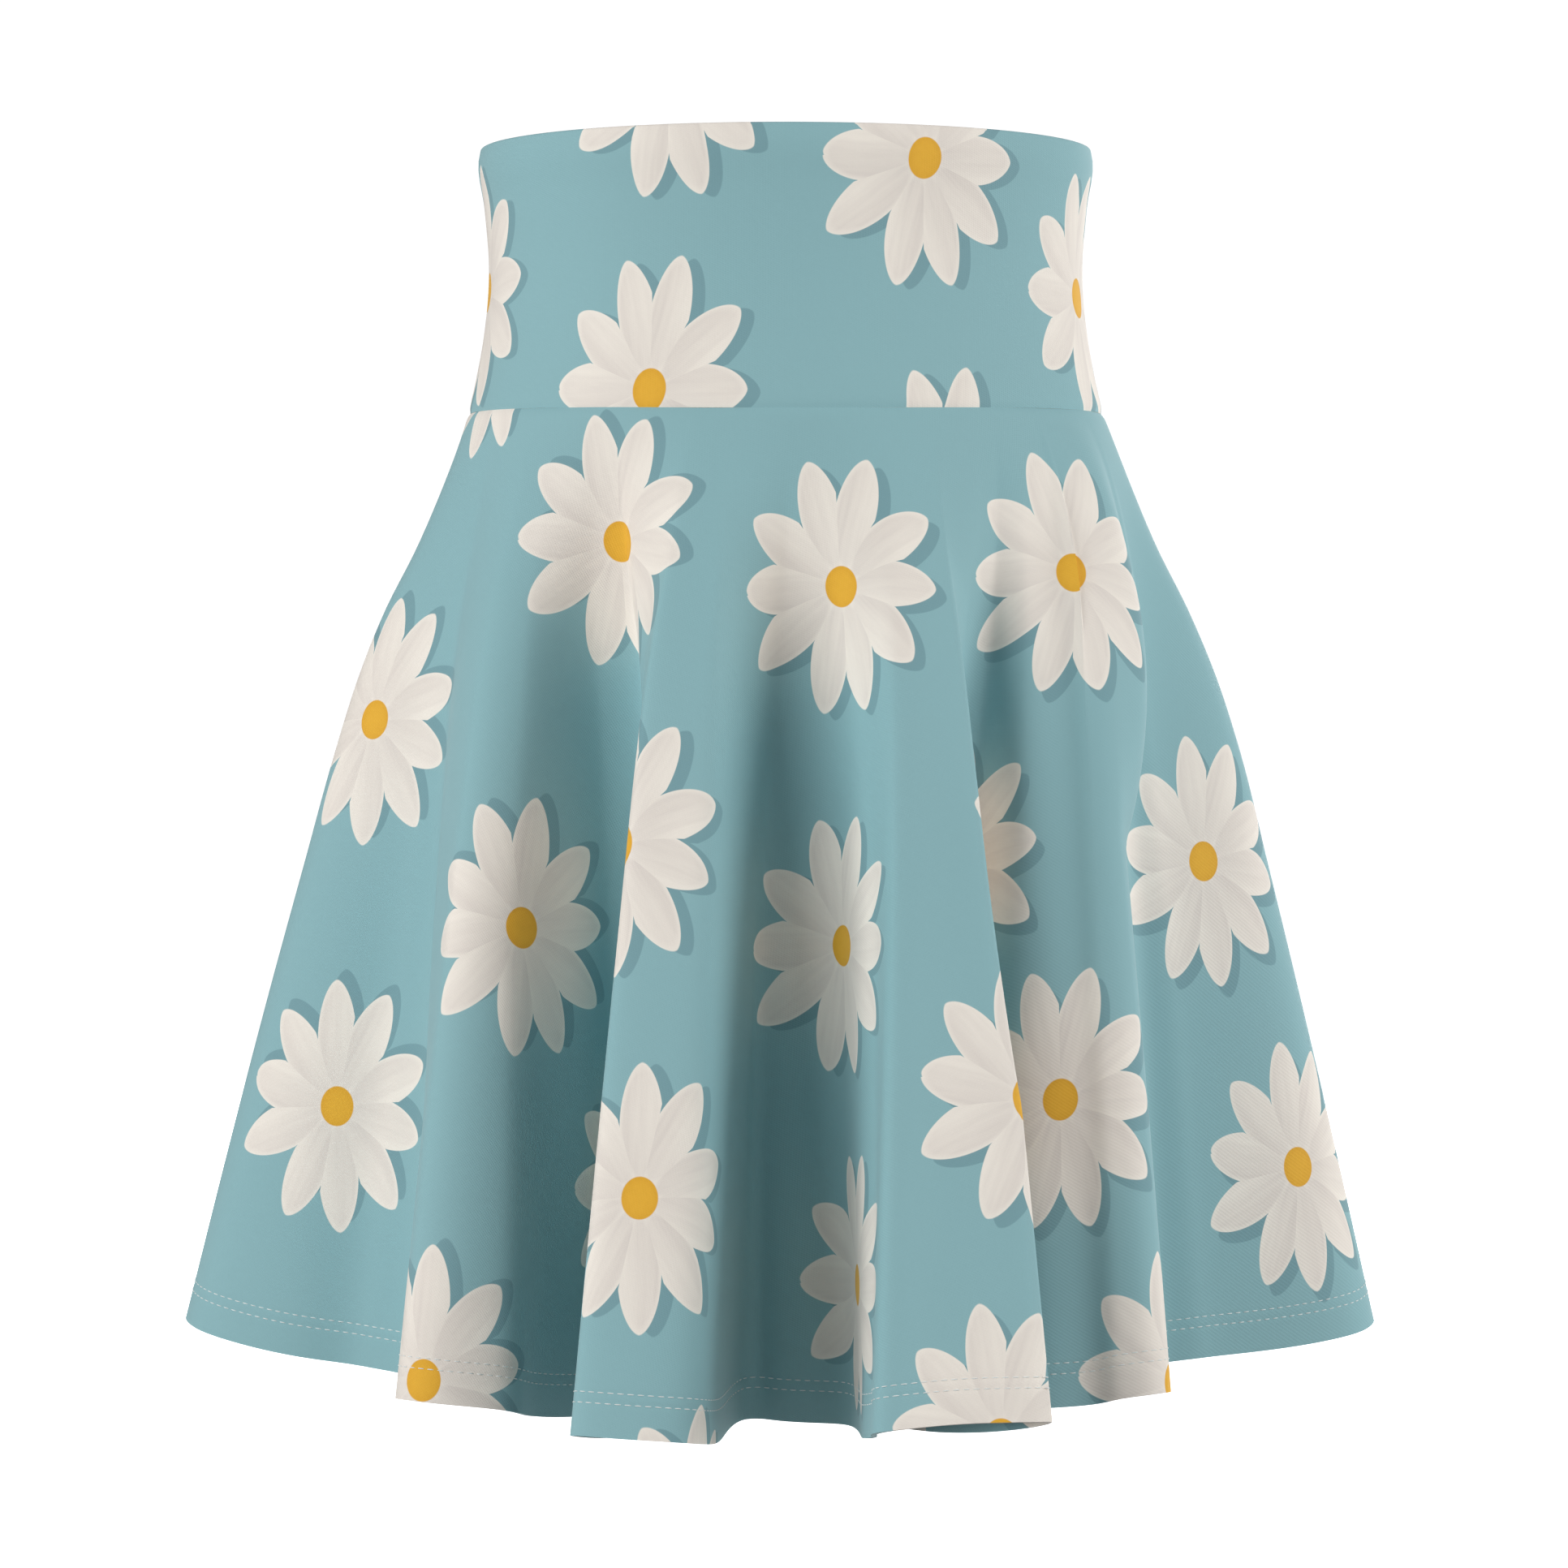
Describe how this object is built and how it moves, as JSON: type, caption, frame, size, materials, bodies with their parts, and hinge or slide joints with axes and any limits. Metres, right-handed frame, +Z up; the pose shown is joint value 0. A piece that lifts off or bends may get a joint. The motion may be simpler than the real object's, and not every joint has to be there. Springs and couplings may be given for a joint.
{
  "type": "circle skirt",
  "caption": "Hollow circle skirt, filled out as worn: a tall fitted waistband over a flared skirt that falls in deep soft folds to a stitched hem.",
  "frame": {"origin": "middle of the waist, level with the narrowest part of the waistband, where the wearer holds the skirt up", "axes": "+Z up towards the top edge, the front of the skirt faces -Y, +X to the right of someone looking at the front"},
  "size_m": [0.5151, 0.431, 0.5338],
  "materials": {
    "cloth": "smooth double knit with a soft sheen",
    "thread": "spun sewing thread"
  },
  "bodies": {
    "root": {"waistband_front": "cloth", "waistband_back": "cloth", "skirt_front": "cloth", "skirt_back": "cloth"}
  },
  "joints": []
}
